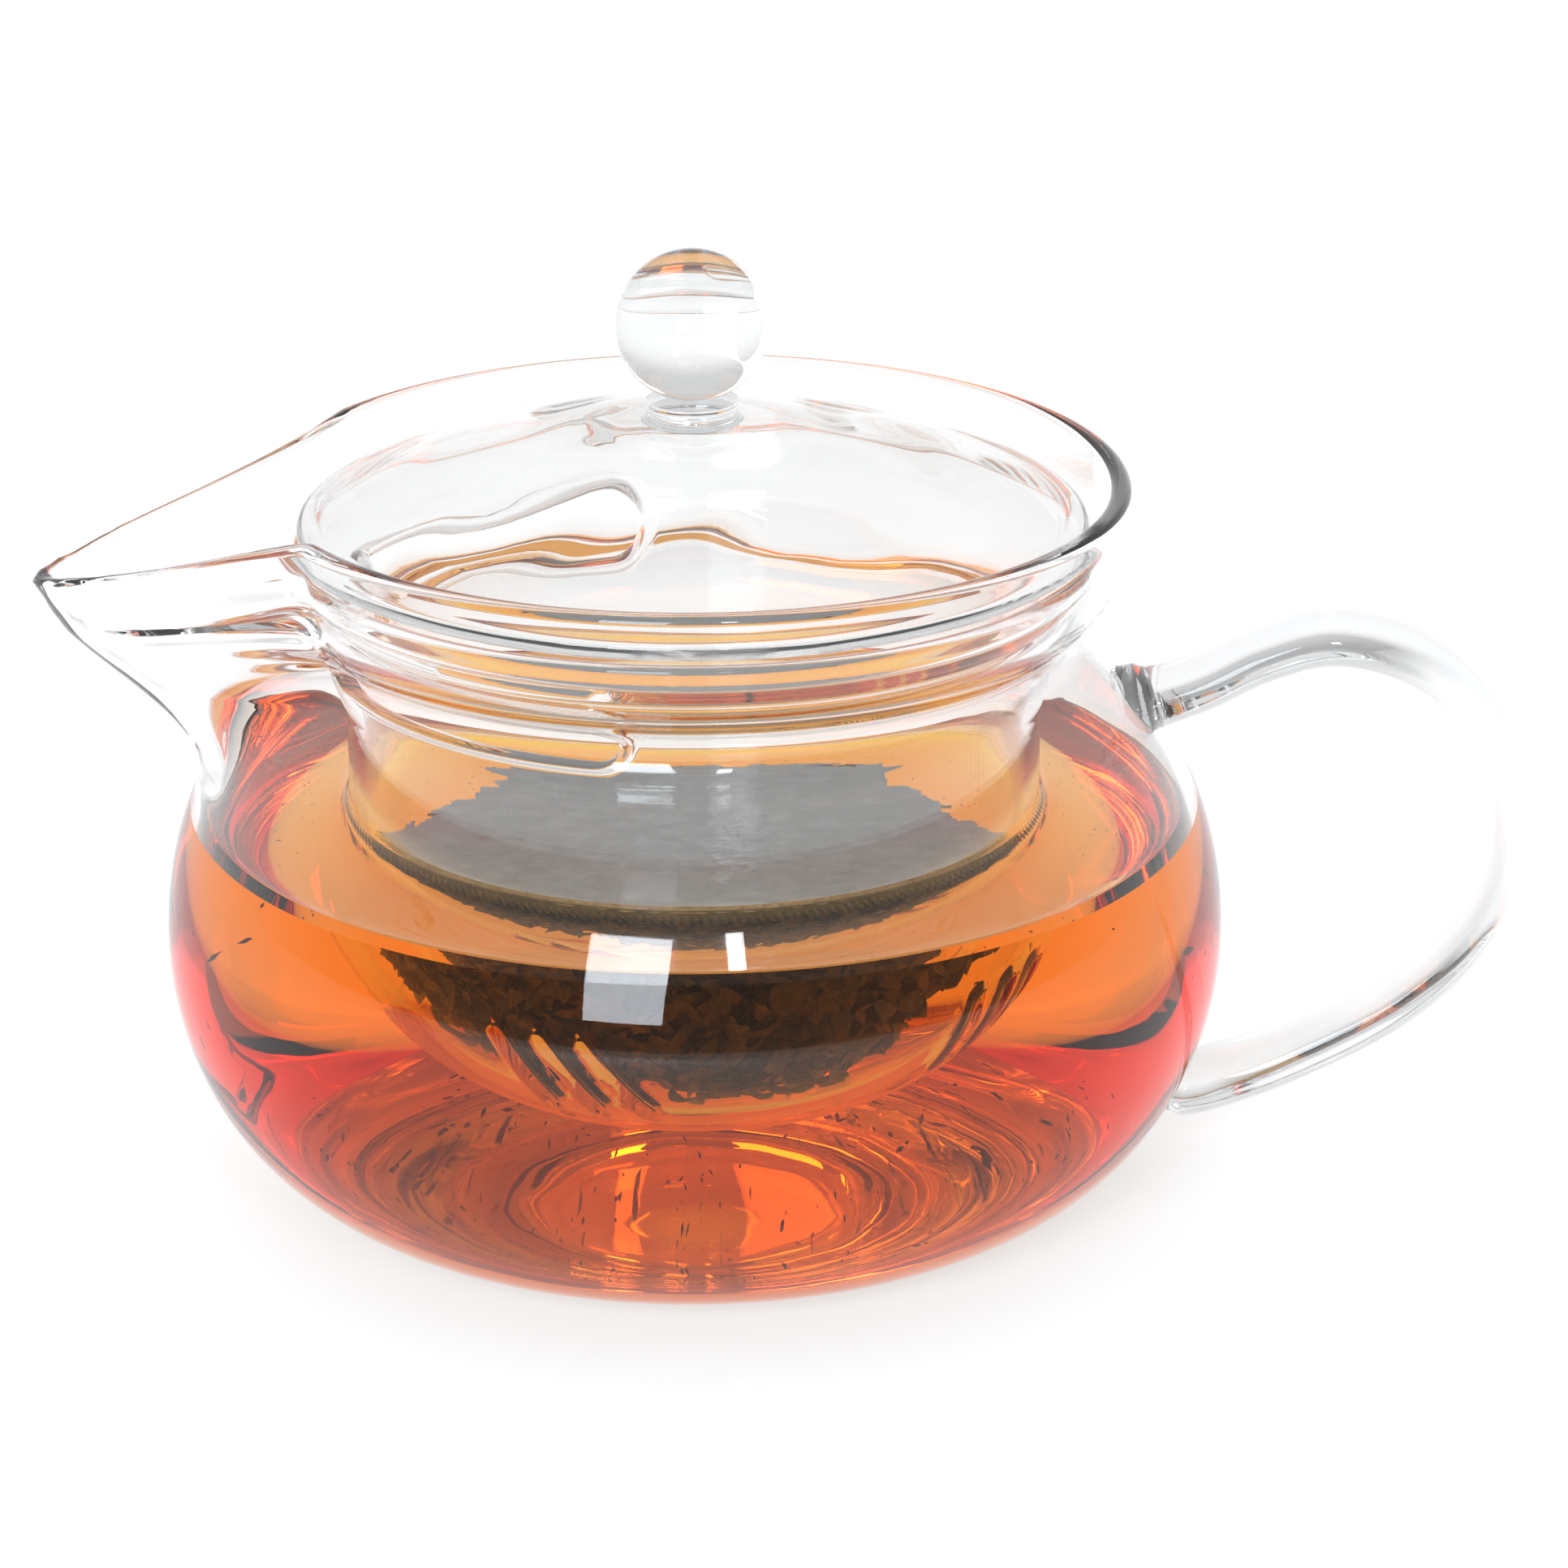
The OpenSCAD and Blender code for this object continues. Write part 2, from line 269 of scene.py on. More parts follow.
def ramp(node, source, stops):
    """A colour ramp on a value; stops are (position, colour or grey)."""
    r = node("ValToRGB", {"Fac": source})
    elements = r.color_ramp.elements
    while len(elements) < len(stops):
        elements.new(0.5)
    for e, (position, colour) in zip(elements, stops):
        e.position = position
        e.color = (*colour, 1) if isinstance(colour, tuple) else (colour, colour, colour, 1)
    return r.outputs["Color"]


def noise_at(node, scale, detail=3.0, stretch=(1, 1, 1)):
    """A noise value in object space; scale is per metre."""
    where = node("TexCoord").outputs["Object"]
    moved = node("Mapping", {"Vector": where, "Scale": stretch}).outputs["Vector"]
    return node("TexNoise", {"Vector": moved, "Scale": scale, "Detail": detail}).outputs["Fac"]


def glass(name, tint, ior, waviness, pitch=60.0, mist=None):
    """Clear blown glass: a faint tint that varies, a slow unevenness, and fine surface drag lines."""
    m, shader, node = material(name)
    slow = noise_at(node, pitch, 2.0)
    drag = noise_at(node, 260.0, 2.0, (0.25, 0.25, 3.0))
    deep = tuple(c * 0.985 for c in tint)
    colour = ramp(node, slow, [(0.3, tint), (0.7, deep)])
    rough = ramp(node, drag, [(0.35, 0.0), (0.75, 0.012)])
    if mist:
        rough, colour = mist(node, rough, colour)
    node.tree.links.new(colour, shader.inputs["Base Color"])
    node.tree.links.new(rough, shader.inputs["Roughness"])
    bump = node("Bump", {"Height": slow, "Strength": waviness, "Distance": 0.001})
    node.tree.links.new(bump.outputs["Normal"], shader.inputs["Normal"])
    shader.inputs["Transmission Weight"].default_value = 1.0
    shader.inputs["IOR"].default_value = ior
    return m


def tea_material(name, ior, absorb, tint=(1.0, 0.995, 0.985)):
    """Tea: its surface, and for the liquid itself what it absorbs."""
    m, shader, node = material(name)
    swirl = noise_at(node, 40.0, 2.0)
    colour = ramp(node, swirl, [(0.3, tint), (0.7, mixed(tint, (1.0, 0.9, 0.8), 0.06))])
    node.tree.links.new(colour, shader.inputs["Base Color"])
    shader.inputs["Transmission Weight"].default_value = 1.0
    shader.inputs["Roughness"].default_value = 0.0
    shader.inputs["IOR"].default_value = ior
    if absorb:
        density, clear = absorb
        volume = node("VolumeAbsorption", {"Density": density, "Color": (*clear, 1)}).outputs["Volume"]
        node.tree.links.new(volume, node.out.inputs["Volume"])
    else:
        ripple = noise_at(node, 90.0, 2.0)
        bump = node("Bump", {"Height": ripple, "Strength": 0.05, "Distance": 0.001})
        node.tree.links.new(bump.outputs["Normal"], shader.inputs["Normal"])
    return m


def leaf_material(name, dark, light, gloss):
    """Wet black tea: crumpled, veined and glossy, in patches from near black to brown."""
    m, shader, node = material(name)
    patch = noise_at(node, 420.0, 5.0)
    grain = noise_at(node, 2200.0, 4.0, (1, 1, 0.4))
    colour = ramp(node, patch, [(0.3, dark), (0.55, mixed(dark, light, 0.4)), (0.8, light)])
    node.tree.links.new(colour, shader.inputs["Base Color"])
    node.tree.links.new(ramp(node, grain, [(0.3, gloss), (0.8, gloss + 0.25)]), shader.inputs["Roughness"])
    bump = node("Bump", {"Height": grain, "Strength": 0.5, "Distance": 0.0004})
    node.tree.links.new(bump.outputs["Normal"], shader.inputs["Normal"])
    shader.inputs["IOR"].default_value = 1.4
    shader.inputs["Specular IOR Level"].default_value = 0.5
    return m


def mixed(a, b, t):
    return tuple(mix(x, y, t) for x, y in zip(a, b))


def cup_mist(node, rough, colour):
    """Condensation on the infuser's wall above the tea: soft patches of fine mist with a ragged edge."""
    where = node("SeparateXYZ", {"Vector": node("TexCoord").outputs["Object"]})
    height = node("MapRange", {"Value": where.outputs["Z"], "From Min": 0.0455, "From Max": 0.058,
                               "To Min": 1.0, "To Max": 0.0}, clamp=True).outputs["Result"]
    side = node("Math", {0: where.outputs["X"]}, operation="ABSOLUTE").outputs[0]
    flank = node("MapRange", {"Value": side, "From Min": 0.027, "From Max": 0.037},
                 clamp=True).outputs["Result"]
    patch = noise_at(node, 160.0, 4.0)
    edge = node("MapRange", {"Value": patch, "From Min": 0.42, "From Max": 0.6}, clamp=True).outputs["Result"]
    a = node("Math", {0: height, 1: flank}, operation="MULTIPLY").outputs[0]
    b = node("Math", {0: a, 1: edge}, operation="MULTIPLY").outputs[0]
    b = node("Math", {0: b, 1: 0.32}, operation="MULTIPLY").outputs[0]
    return node("Math", {0: rough, 1: b}, operation="ADD").outputs[0], colour


CLEAR = (0.996, 0.998, 0.997)
# The solid knob and handle get a darker, blue-grey copy of the clear tint: partly the tint of thick glass,
# partly painted shade for the grey shading along them.
SOLID_TINT_PAINTED_SHADE = (0.945, 0.955, 0.965)
POT_DRY = glass("pot_glass_dry", CLEAR, GLASS_IOR, 0.03)
POT_WET = glass("pot_glass_wet", CLEAR, GLASS_IOR / WATER_IOR, 0.03)
CUP_DRY = glass("infuser_glass_dry", CLEAR, GLASS_IOR, 0.03, mist=cup_mist)
CUP_WET = glass("infuser_glass_wet", CLEAR, CUP_WET_IOR, 0.03)
LID_GLASS = glass("lid_glass", CLEAR, GLASS_IOR, 0.06, 45.0)
KNOB_GLASS = glass("knob_glass", SOLID_TINT_PAINTED_SHADE, GLASS_IOR, 0.03, 120.0)
HANDLE_GLASS = glass("handle_glass", SOLID_TINT_PAINTED_SHADE, GLASS_IOR, 0.03, 90.0)
TEA = tea_material("tea", 1.0, (56.0, (0.996, 0.68, 0.0)))
TEA_FILM = tea_material("tea_film_top", WATER_IOR, None)
CUP_FILM = tea_material("tea_film_brew", WATER_IOR, None, (1.0, 0.86, 0.10))
FILM_BACK = tea_material("tea_film_back", 1.0, None)
LEAF = leaf_material("leaf_wet", (0.006, 0.004, 0.003), (0.07, 0.032, 0.014), 0.3)
# The floating mat's pale grey base colour is a painted reflection of the bright surroundings in the wet film
# over near-black leaves; the coat below adds a real gloss.
LEAF_MAT_PAINTED_REFLECTION = leaf_material("leaf_mat_painted_reflection", (0.42, 0.415, 0.405), (0.62, 0.61, 0.59), 0.35)
LEAF_MAT_PAINTED_REFLECTION.node_tree.nodes["Principled BSDF"].inputs["Coat Weight"].default_value = 0.7
DUST = leaf_material("leaf_dust", (0.14, 0.06, 0.03), (0.34, 0.15, 0.07), 0.5)


# ---- Pot ----
def pot_angles():
    near = np.arange(-40, 40.01, 0.8)
    rest = np.arange(42, 319, 2.0)
    return list(near) + list(rest)


def pot_point(r, z, angle, side, inset=0.0):
    """A point of the pot at an angle from the spout's plane, with the glassblower's unevenness."""
    away = abs((angle + 180) % 360 - 180)
    r2, z2 = drawn(r, z, away, side)
    x, y = math.cos(math.radians(angle)), math.sin(math.radians(angle))
    uneven = 0.07 * side * wave(x * 40, y * 40, z * 0.5, 16, 3.1) * smooth(z / 12)
    near_tip = smooth((r2 - 62) / 9) * smooth((z2 - 64) / 3) if r2 > 62 else 0.0
    bead = near_tip * 0.42 * wave(r2 * x, r2 * y, z2, 2.1, 9.0)
    r3 = r2 + uneven - 0.45 * near_tip + bead - inset
    return (-r3 * x, -r3 * y, z2 + 0.5 * bead)


def make_pot():
    outer, inner = pot_side(0), pot_side(WALL)
    foot = [(r, 0.2 * (1 - (r / BASE_R)**2)**2) for r in (0, 6, 12, 18, 24, 30, 33)]
    inner_r = inner[0][0]
    floor = [(r, FLOOR_T + 0.2 * (1 - (r / inner_r)**2)**2) for r in (32, 30, 27, 22, 17, 12, 6, 0)]
    lip = arc((COLLAR_R - WALL / 2 + 0.2, RIM_Z - LIP_R), LIP_R, 0, 180, 12)
    profile = foot + outer + lip + inner[::-1] + floor
    start = len(foot) + len(outer)
    sides = [0.0] * start + [smooth(k / 12) for k in range(13)] + [1.0] * (len(inner) + len(floor))
    angles = pot_angles()
    verts, faces = lathe(profile, angles, lambda k, r, z, a: pot_point(r, z, a, sides[k]))
    wet_from = start + 13 + sum(z > TEA_Z + 0.01 for _, z in inner)
    count = len(angles)
    first_wet = 1 + count * (wet_from - 1)  # the first point of the wet inside; the first ring is a pole
    wet = [int(min(f) >= first_wet) for f in faces]
    obj = build("pot_body_glass", verts, faces, [POT_DRY, POT_WET], wet)
    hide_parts("pot_body")
    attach(obj, "pot")


# ---- Handle ----
STRAP_W, STRAP_T, STRAP_END_T = 10.4, 5.7, 6.6
STRAP_PATH = [
    (48, 55.4), (52, 56.3), (57.5, 58.3), (64, 61.5), (71.5, 63.4), (79.5, 61.8), (86, 57.6),
    (90.8, 50.5), (93, 42.4), (92, 34.2), (87.4, 26.4), (79.5, 19.3), (69.7, 13.8), (61.5, 10.4),
    (54, 8.8), (46, 8.3)]
LAST = len(STRAP_PATH) - 1
BITE = 0.15  # how far the handle's ends reach into the belly's glass


def strap_at(t):
    """The strap's middle line, a Catmull-Rom curve, at t from 0 to LAST."""
    k = min(int(t), LAST - 1)
    u = t - k
    a, b, c, d = (np.array(STRAP_PATH[min(LAST, max(0, k + o))], float) for o in (-1, 0, 1, 2))
    return 0.5 * (2 * b + (c - a) * u + (2 * a - 5 * b + 4 * c - d) * u * u + (3 * b - a - 3 * c + d) * u**3)


def clear_of_belly(x, y, z):
    return math.hypot(x, y) - belly_r(z, BITE)


def strap_point(t, angle):
    c = strap_at(t)
    step = 0.08
    v = strap_at(min(LAST, t + step)) - strap_at(max(0, t - step))
    v = v / np.linalg.norm(v)
    out = max(0.0, clear_of_belly(c[0], 0.0, c[1]))
    if t < LAST / 2:
        grow = 1 + 0.06 * math.exp(-out / 5) + 0.22 * math.exp(-out / 0.9)
        deep = grow
    else:  # a blunt rod end on a narrower weld
        swell = math.exp(-((out - 4.2) / 2.5)**2)
        grow = 1 + 0.04 * swell - 0.26 * smooth((2.6 - out) / 1.4) + 0.2 * math.exp(-out / 0.5)
        deep = 1 + 0.08 * swell - 0.16 * smooth((2.6 - out) / 1.6) + 0.12 * math.exp(-out / 0.6)
    half_t = mix(STRAP_T, STRAP_END_T, max(0.0, t / LAST * 2 - 1)) / 2 * deep
    a = math.radians(angle)
    power = 0.85
    s = half_t * math.copysign(abs(math.sin(a))**power, math.sin(a))
    q = STRAP_W / 2 * grow * math.copysign(abs(math.cos(a))**power, math.cos(a))
    return (c[0] - v[1] * s, q, c[1] + v[0] * s)


def crossing(angle, inside, outside):
    """Where a line along the strap leaves the belly's glass."""
    for _ in range(34):
        middle = (inside + outside) / 2
        if clear_of_belly(*strap_point(middle, angle)) < 0:
            inside = middle
        else:
            outside = middle
    return outside


def make_handle():
    angles = even_angles(44)
    begin = [crossing(a, 0.0, 3.2) for a in angles]
    end = [crossing(a, LAST, LAST - 3.0) for a in angles]
    steps = 150
    spread = [smooth(k / steps) * 0.35 + 0.65 * k / steps for k in range(steps + 1)]
    verts, rings = [], []

    def cap(loop):
        """Rings from an end loop to a pole, lying just under the belly's surface."""
        middle = np.mean(loop, axis=0)
        out = []
        for share in (0.8, 0.55, 0.3, 0.0):
            ring = []
            for p in (loop if share else loop[:1]):
                q = middle + (np.array(p) - middle) * share
                ring.append(turn(belly_r(q[2], BITE), math.degrees(math.atan2(q[1], q[0])), q[2]))
            out.append(ring)
        return out

    tube = [[strap_point(mix(b, e, s), a) for a, b, e in zip(angles, begin, end)] for s in spread]
    for ring in cap(tube[0])[::-1] + tube + cap(tube[-1]):
        rings.append(list(range(len(verts), len(verts) + len(ring))))
        verts += ring
    obj = build("handle_glass_strap", verts, bridge(rings), [HANDLE_GLASS], sharp=50)
    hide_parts("handle")
    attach(obj, "pot")


# ---- Infuser ----
def cup_curve():
    """The cup's outside from its lowest point up to the upright rim, as even fine steps."""
    rows = [(0.0, CUP_BOTTOM)]
    for i in range(1, 61):
        z = CUP_BOTTOM + (BOWL_TOP - CUP_BOTTOM) * (i / 60)**2.4
        share = 1 - ((BOWL_TOP - z) / (BOWL_TOP - CUP_BOTTOM))**1.25
        rows.append((CUP_R * max(0.0, share)**(1 / 3.4), z))
    rows += [(CUP_R, z) for z in np.linspace(BOWL_TOP, FLARE_Z, 24)[1:]]
    rows += arc((CUP_R + FLARE_R, FLARE_Z), FLARE_R, 180, FLARE_ANGLE, 14)[1:]
    rows += arc((CUP_RIM_R - SEAT_R, SEAT_Z), SEAT_R, FLARE_ANGLE - 180 + 4, 0, 14)
    return np.array(rows)


class CupSheet:
    """Outside and inside of the cup as functions of an angle and a length along the profile."""

    def __init__(self):
        self.rows = cup_curve()
        self.s = np.concatenate([[0], np.cumsum(np.linalg.norm(np.diff(self.rows, axis=0), axis=1))])
        t = np.gradient(self.rows, self.s, axis=0)
        t[0] = (1, 0)
        t /= np.linalg.norm(t, axis=1)[:, None]
        self.inward = np.stack([-t[:, 1], t[:, 0]], axis=1)

    def at(self, s, depth):
        r, z, nr, nz = (np.interp(s, self.s, c) for c in (*self.rows.T, *self.inward.T))
        return r + nr * depth, z + nz * depth

    def s_of(self, z):
        return float(np.interp(z, self.rows[:, 1], self.s))

    def point(self, angle, s, depth):
        r, z = self.at(s, depth)
        x, y = math.cos(math.radians(angle)), math.sin(math.radians(angle))
        uneven = 0.06 * wave(x * 30, y * 30, z * 0.5, 13, 7.7 + depth) * (depth > 0.9)
        return ((r + uneven) * x, (r + uneven) * y, z)


def stadium(half_length, half_width, steps):
    """A slot outline with round ends: points and outward directions."""
    out = []
    for side in (1, -1):
        for k in range(steps + 1):
            a = math.radians(-90 + 180 * k / steps)
            out.append((side * (half_length + half_width * math.cos(a)), side * half_width * math.sin(a),
                        side * math.cos(a), side * math.sin(a)))
        for k in range(1, int(half_length * 2)):
            along = half_length - k * half_length * 2 / int(half_length * 2)
            out.append((side * along, side * half_width, 0.0, side * 1.0))
    return out


def slit_outline(sheet, group, k, grow):
    """One strainer slit, grown outwards, as (angle, length) points."""
    lean = math.radians(SLIT_LEAN)
    middle = (SLIT_LOW + SLIT_HIGH) / 2
    out = []
    for a, b, na, nb in stadium((SLIT_HIGH - SLIT_LOW) / 2 - SLIT_W / 2, SLIT_W / 2, 8):
        along, across = a + na * grow, b + nb * grow
        y = (k - (SLITS - 1) / 2) * SLIT_GAP - along * math.sin(lean) + across * math.cos(lean)
        z = middle + along * math.cos(lean) + across * math.sin(lean)
        s = sheet.s_of(z)
        r = sheet.at(s, 0.0)[0]
        out.append((group + math.degrees(math.asin(y / r)), s))
    return out


def slot_outline(sheet, side, grow):
    """One pouring slot, grown outwards, as (angle, length) points."""
    half = CUP_R * math.radians(SLOT_HALF)
    out = []
    for a, b, na, nb in stadium(half, SLOT_H / 2, 14):
        along, across = a + na * grow, b + nb * grow
        out.append((side * SLOT_TURN + math.degrees(along / CUP_R), sheet.s_of(SLOT_Z) + across))
    return out


def inside_polygon(points, polygon):
    x, y = points[:, 0], points[:, 1]
    inside = np.zeros(len(points), bool)
    px, py = polygon[:, 0], polygon[:, 1]
    for i in range(len(polygon)):
        j = i - 1
        crosses = (py[i] > y) != (py[j] > y)
        with np.errstate(divide="ignore", invalid="ignore"):
            at = (px[j] - px[i]) * (y - py[i]) / (py[j] - py[i]) + px[i]
        inside ^= crosses & (x < at)
    return inside


def band(angles, levels, holes):
    """Triangles of an unrolled band round the cup with holes in it. Points are (angle, length)."""
    scale = CUP_R * math.pi / 180
    grid = np.array([(a, s) for s in levels for a in list(angles) + [360.0]])
    keep = np.ones(len(grid), bool)
    flat = grid * (scale, 1)
    polygons = [np.array(h) * (scale, 1) for h in holes]
    for p in polygons:
        middle = p.mean(axis=0)
        near = np.abs(flat - middle).max(axis=1) < np.abs(p - middle).max() + 2
        index = np.where(near)[0]
        keep[index[inside_polygon(flat[index], p)]] = False
        for i in index:
            if keep[i] and np.min(np.hypot(*(p - flat[i]).T)) < 0.45:
                keep[i] = False
    edge_rows = (grid[:, 1] == levels[0]) | (grid[:, 1] == levels[-1])
    keep |= edge_rows
    points, edges = list(map(tuple, flat[keep])), []
    for p in polygons:
        base = len(points)
        points += list(map(tuple, p))
        edges += [(base + i, base + (i + 1) % len(p)) for i in range(len(p))]
    result = delaunay_2d_cdt([Vector(p) for p in points], edges, [], 0, 1e-7)
    out_points = np.array([tuple(p) for p in result[0]])
    triangles = np.array([f for f in result[2] if len(f) == 3])
    centres = out_points[triangles].mean(axis=1)
    drop = np.zeros(len(triangles), bool)
    for p in polygons:
        drop |= inside_polygon(centres, p)
    return out_points / (scale, 1), triangles[~drop]


def make_infuser():
    sheet = CupSheet()
    holes, soft = [], []
    for g in range(SLIT_GROUPS):
        for k in range(SLITS):
            group = (FIRST_GROUP + g * 360 / SLIT_GROUPS) % 360
            holes.append(lambda grow, group=group, k=k: slit_outline(sheet, group, k, grow))
            soft.append(0.4)
    for side in (-1, 1):
        holes.append(lambda grow, side=side: [(a % 360, s) for a, s in slot_outline(sheet, side, grow)])
        soft.append(1.5)

    bm = bmesh.new()
    rounds = 14

    def add(points):
        return [bm.verts.new(tuple(c * MM for c in p)) for p in points]

    count = 240
    angles = even_angles(count)
    s_low, s_high = sheet.s_of(16.2), sheet.s_of(71.0)
    levels = list(np.linspace(s_low, s_high, 68))
    below = [s for s in sheet.s if 0.4 < s < s_low - 0.4]
    above = [s for s in sheet.s if s > s_high + 0.3]

    for depth in (0.0, CUP_WALL):
        outlines = [hole(r) for hole, r in zip(holes, soft)]
        points, triangles = band(angles, levels, outlines)
        verts = add([sheet.point(a, s, depth) for a, s in points])
        for t in triangles:
            bm.faces.new([verts[i] for i in t])
        for rows, edge in ((below[::-1], s_low), (above, s_high)):
            last = add([sheet.point(a, edge, depth) for a in angles])
            for s in rows:
                ring = add([sheet.point(a, s, depth) for a in angles])
                for j in range(count):
                    k = (j + 1) % count
                    bm.faces.new((last[j], last[k], ring[k], ring[j]))
                last = ring
            if edge == s_low:
                pole = add([sheet.point(0, 0.0, depth)])[0]
                for j in range(count):
                    bm.faces.new((last[j], last[(j + 1) % count], pole))

    for hole, r in zip(holes, soft):
        loops = []
        for i in range(rounds + 1):
            f = math.pi * i / rounds
            bead = SLOT_BEAD * math.sin(2 * f) * (r > 1)
            depth = CUP_WALL / 2 * (1 - math.cos(f)) - bead
            loops.append(add([sheet.point(a, s, depth) for a, s in hole(r * (1 - math.sin(f)))]))
        n = len(loops[0])
        for low, high in zip(loops, loops[1:]):
            for j in range(n):
                bm.faces.new((low[j], low[(j + 1) % n], high[(j + 1) % n], high[j]))

    steps = 8
    top_s = sheet.s[-1]
    loops = []
    for i in range(steps + 1):
        f = math.pi * i / steps
        r = CUP_RIM_R - CUP_WALL / 2 + CUP_WALL / 2 * math.cos(f)
        z = CUP_TOP - CUP_WALL / 2 + CUP_WALL / 2 * math.sin(f)
        loops.append(add([turn(r, a, z) for a in angles]))
    outer_top = add([sheet.point(a, top_s, 0.0) for a in angles])
    inner_top = add([sheet.point(a, top_s, CUP_WALL) for a in angles])
    loops = [outer_top] + loops + [inner_top]
    for low, high in zip(loops, loops[1:]):
        for j in range(count):
            bm.faces.new((low[j], low[(j + 1) % count], high[(j + 1) % count], high[j]))

    bmesh.ops.remove_doubles(bm, verts=bm.verts, dist=0.004 * MM)
    bmesh.ops.recalc_face_normals(bm, faces=bm.faces)
    mesh = bpy.data.meshes.new("infuser_glass_cup")
    bm.to_mesh(mesh)
    bm.free()
    mesh.materials.append(CUP_DRY)
    mesh.materials.append(CUP_WET)
    for p in mesh.polygons:
        p.material_index = int(p.center.z < TEA_Z * MM)
    mesh.shade_smooth()
    obj = bpy.data.objects.new("infuser_glass_cup", mesh)
    bpy.context.scene.collection.objects.link(obj)
    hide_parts("infuser")
    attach(obj, "infuser")


# ---- Lid and knob ----
DOME_R = (LID_R**2 + DOME_RISE**2) / (2 * DOME_RISE)
DOME_C = (0.0, LID_EDGE_Z + DOME_RISE - DOME_R)


def dome_z(r, depth=0.0):
    return DOME_C[1] + math.sqrt((DOME_R - depth)**2 - r * r)


def lid_ripple(r, angle):
    """The lid's slow ripples, none at its edge and crown."""
    x, y = r * math.cos(math.radians(angle)), r * math.sin(math.radians(angle))
    fade = smooth((r - 6) / 6) * smooth((LID_R - 3 - r) / 6)
    return fade * (0.16 * wave(x, y, 0, 11, 5.0) + 0.07 * math.sin(r / 3.1))


def make_lid():
    crown = [0, 2, 4, 6, 8, 10, 12, 14, 16, 18, 20, 22, 24, 26, 28, 30, 32, 34, 36, 38, 39.5, 41, 42]
    top = [(r, dome_z(r)) for r in crown]
    edge = arc((LID_R - LID_EDGE_R, LID_EDGE_Z), LID_EDGE_R, 50, -115, 12)
    under = [(r, dome_z(r, LID_WALL)) for r in crown[::-1]]
    profile = top + edge + under
    first_under = len(top) + len(edge)

    def place(k, r, z, a):
        lower = k >= first_under
        dip = lid_ripple(r, a + 20) + 0.05 if lower else 0.25 * lid_ripple(r, a) + 0.02 * (r > 6)
        return turn(r, a, z - dip)

    verts, faces = lathe(profile, even_angles(180), place)
    obj = build("lid_glass_dome", verts, faces, [LID_GLASS])
    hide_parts("lid")
    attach(obj, "lid")


def make_knob():
    """A solid ball on a short waisted stem, flared where it is welded to the lid."""
    foot_r = 5.6
    foot = [(r, dome_z(r) - 0.12) for r in (0, 1.5, 3, 4.5, foot_r)]
    base = dome_z(STEM_R)
    stem = [(foot_r + 0.1, dome_z(foot_r) + 0.1), (STEM_R + 0.1, base + 0.45), (STEM_R - 0.15, base + 1.0),
            (STEM_R - 0.25, base + 1.7), (STEM_R - 0.1, base + 2.3)]
    join = math.degrees(math.asin((stem[-1][1] + 0.4 - BALL_Z) / BALL_R))
    ball = arc((0.0, BALL_Z), BALL_R, join, 90, 40)
    profile = foot + stem + ball[:-1] + [(0.0, BALL_Z + BALL_R)]
    verts, faces = lathe(profile, even_angles(96), lambda k, r, z, a: turn(r, a, z))
    obj = build("lid_knob_glass", verts, faces, [KNOB_GLASS], sharp=60)
    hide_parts("lid_knob")
    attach(obj, "lid")


# ---- Tea ----
def liquid_top(r, pot_r):
    """Height of the tea's surface at a radius: it climbs at the pot's wall and at the cup's two faces."""
    inner, outer = CUP_R - CUP_WALL, CUP_R
    gaps = [pot_r - r]
    gaps.append(r - outer if r >= outer else (inner - r if r <= inner else 0.0))
    return TEA_Z + sum(RIDGE * math.exp(-max(0.0, g) / CLIMB) for g in gaps)


def surface_radii(low, high, both=True):
    """Radii from low to high, close together near a wall."""
    half = [0, 0.15, 0.35, 0.65, 1.1, 1.7, 2.5, 3.6, 5.5]
    if both:
        middle = list(np.linspace(low + 5.5, high - 5.5, 5))[1:-1]
        return [low + h for h in half] + middle + [high - h for h in half[::-1]]
    return list(np.linspace(low, high - 5.5, 8))[:-1] + [high - h for h in half[::-1]]


def make_tea():
    side = [p for p in pot_side(WALL) if p[1] <= TEA_Z + 0.01]
    low_r = side[0][0]
    floor = [(r, FLOOR_T + 0.2 * (1 - (r / low_r)**2)**2 + GAP) for r in (0, 6, 12, 17, 22, 27, 30, 32)]
    side = [(r, z + GAP * smooth((12 - z) / 9)) for r, z in side]
    pot_r = wall_r(TEA_Z, WALL) - GAP
    rise = [(wall_r(TEA_Z + h, WALL), TEA_Z + h) for h in (0.4, 0.8, 1.25, RIDGE - 2 * GAP)]
    radii = surface_radii(0.0, CUP_R - CUP_WALL, False) + surface_radii(CUP_R, pot_r)
    radii = [r for r in radii if r < rise[-1][0] - 0.1]
    top = [(r, liquid_top(r, pot_r) - 2 * GAP) for r in radii[::-1]]
    profile = floor + side + rise + top
    last_side = len(floor) + len(side) + len(rise)

    def place(k, r, z, a):
        return pot_point(r, z, a, 1.0, GAP) if k < last_side else turn(r, a + 180, z)

    verts, faces = lathe(profile, even_angles(192), place)
    obj = build("tea_liquid", verts, faces, [TEA], sharp=60)
    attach(obj, "pot")


